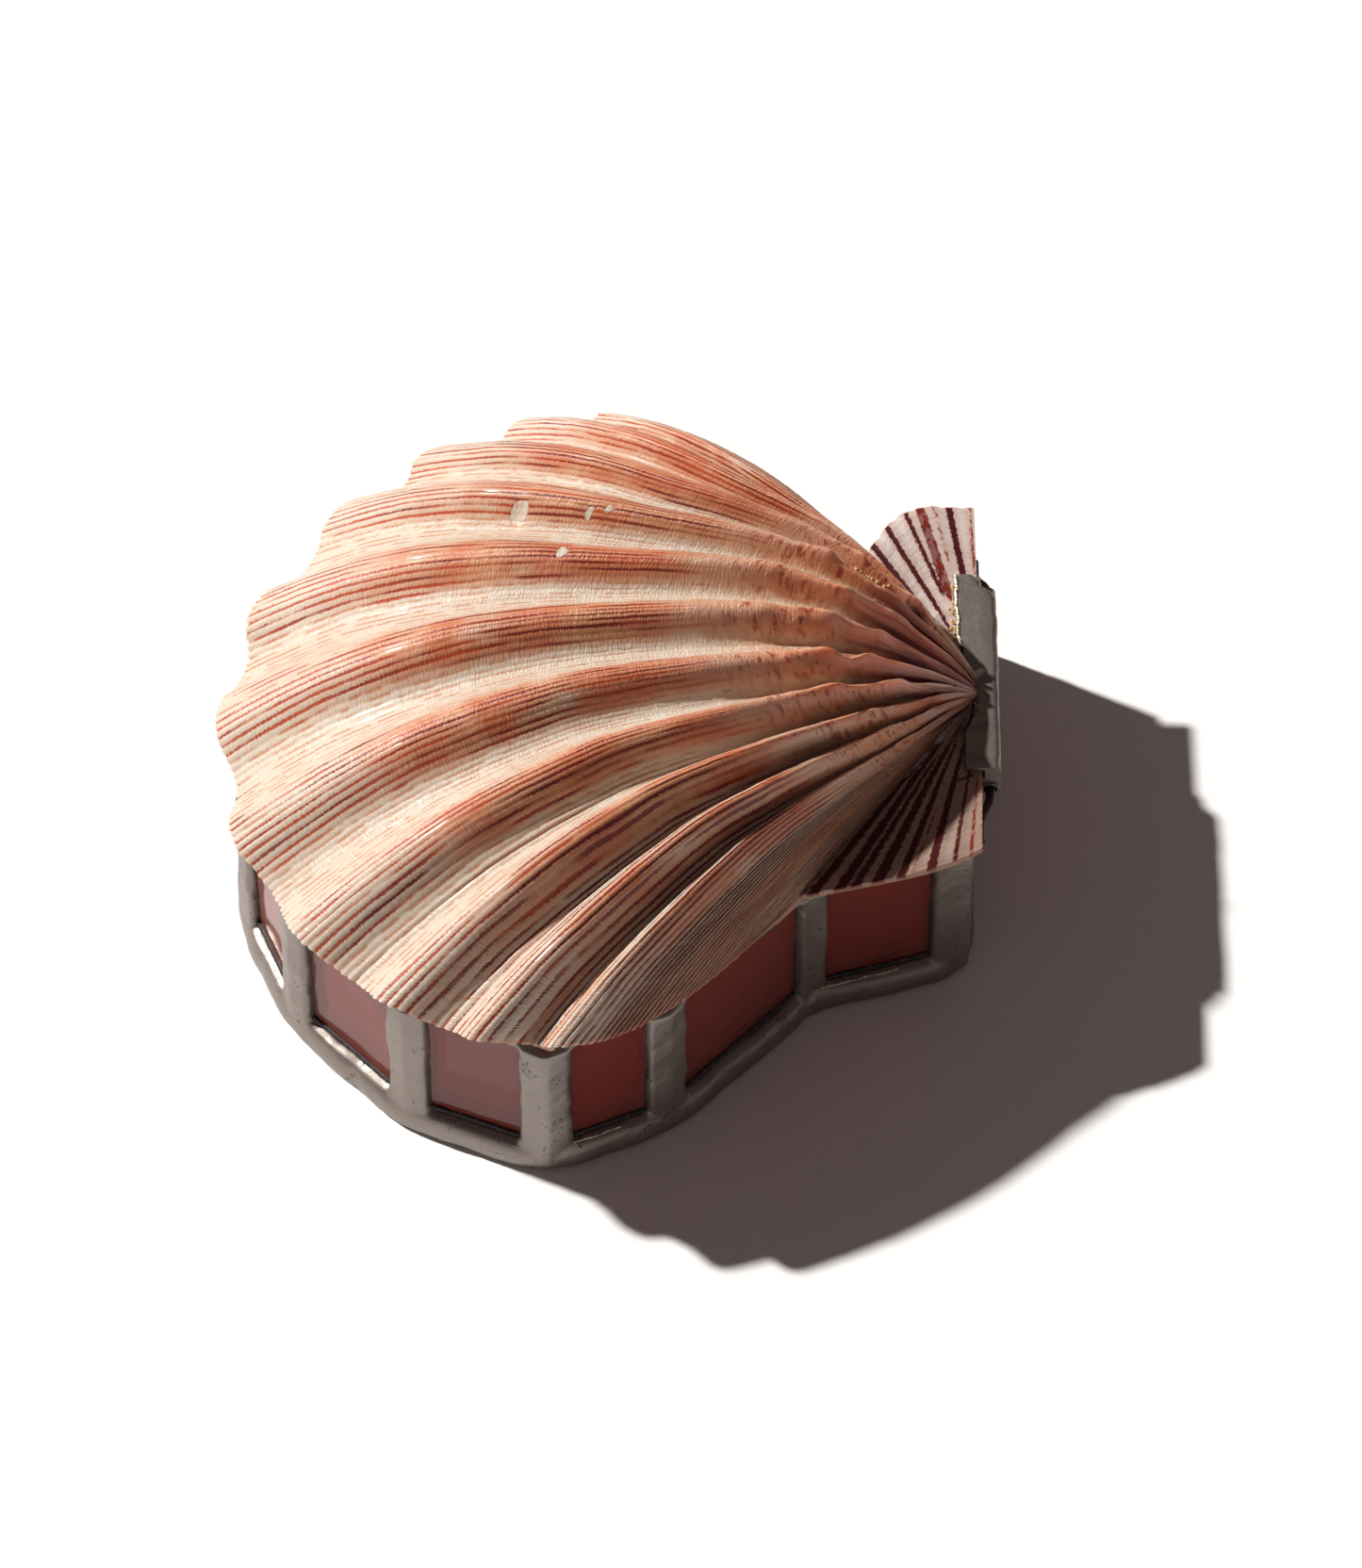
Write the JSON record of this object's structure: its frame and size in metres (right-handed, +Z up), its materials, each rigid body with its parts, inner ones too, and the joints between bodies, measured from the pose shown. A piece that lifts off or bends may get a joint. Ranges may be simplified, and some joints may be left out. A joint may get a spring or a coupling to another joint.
{
  "type": "trinket box",
  "caption": "Low glass-walled trinket box in a soldered frame; its hinged lid is one whole ribbed scallop shell with both ears.",
  "frame": {"origin": "on the table the box stands on, under the centre of the shell's round disc", "axes": "+Z up; +Y towards the hinge at the back, so the shell's front margin is at -Y; +X to the right seen from the front"},
  "size_m": [0.1198, 0.121, 0.0622],
  "materials": {
    "shell": "waxy satin natural shell, cream with red-brown rays",
    "pink_glass": "clear polished glass, tinted dusky pink",
    "solder": "satin tin solder, brushed and slightly pitted",
    "hinge_metal": "dark patinated wire"
  },
  "bodies": {
    "box": {"solder_frame": "solder", "base_glass": "pink_glass", "glass_pane_01": "pink_glass", "glass_pane_02": "pink_glass", "glass_pane_03": "pink_glass", "glass_pane_04": "pink_glass", "glass_pane_05": "pink_glass", "glass_pane_06": "pink_glass", "glass_pane_07": "pink_glass", "glass_pane_08": "pink_glass", "glass_pane_09": "pink_glass", "glass_pane_10": "pink_glass", "glass_pane_11": "pink_glass", "glass_pane_12": "pink_glass", "glass_pane_13": "pink_glass", "glass_pane_14": "pink_glass", "hinge_rod": "hinge_metal"},
    "lid": {"scallop_shell": "shell", "hinge_sleeve": "solder", "hinge_tube": "solder"}
  },
  "joints": [
    {"name": "lid_hinge", "type": "hinge", "parent": "box", "child": "lid", "pos_m": [-0.01, 0.0583, 0.0314], "axis": [-1, 0, 0], "range_deg": [0, 100]}
  ]
}
